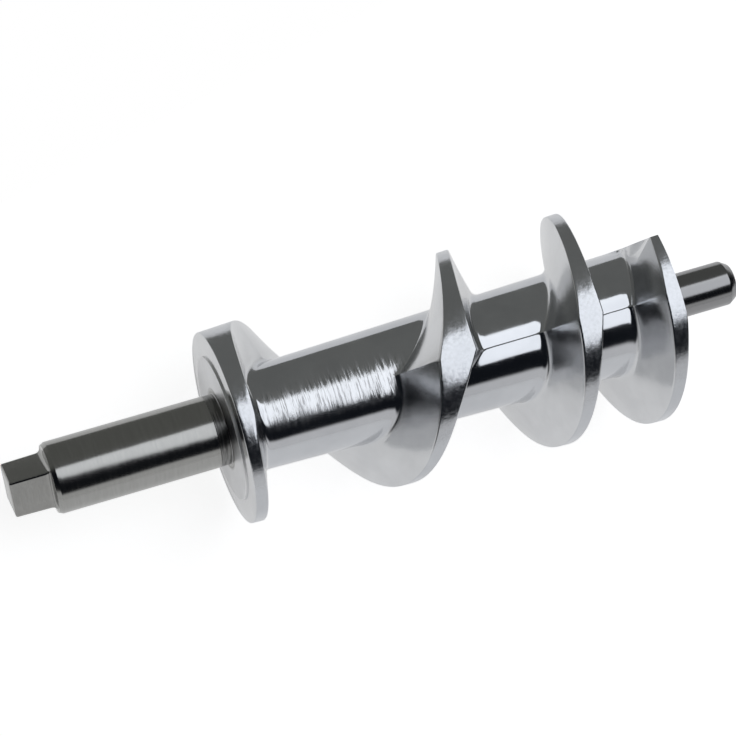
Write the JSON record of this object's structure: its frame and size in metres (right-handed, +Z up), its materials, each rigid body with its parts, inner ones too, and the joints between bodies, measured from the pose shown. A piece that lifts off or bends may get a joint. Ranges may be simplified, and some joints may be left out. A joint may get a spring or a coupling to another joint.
{
  "type": "meat grinder auger",
  "caption": "Left-handed grinder feed screw: a square-tanged shank and flange carry a conical core with a tightening flight, ending in a knife seat and a front pin.",
  "frame": {"origin": "on the axis of the shank journal, where the journal meets the flange's thrust face", "axes": "+X along the axis towards the knife end, +Z up as the auger lies on its side, the way it comes to rest"},
  "size_m": [0.1484, 0.0449, 0.0453],
  "materials": {
    "plated_metal": "bright plating over a casting, with a ground shank and pin"
  },
  "bodies": {
    "root": {"auger": "plated_metal"}
  },
  "joints": []
}
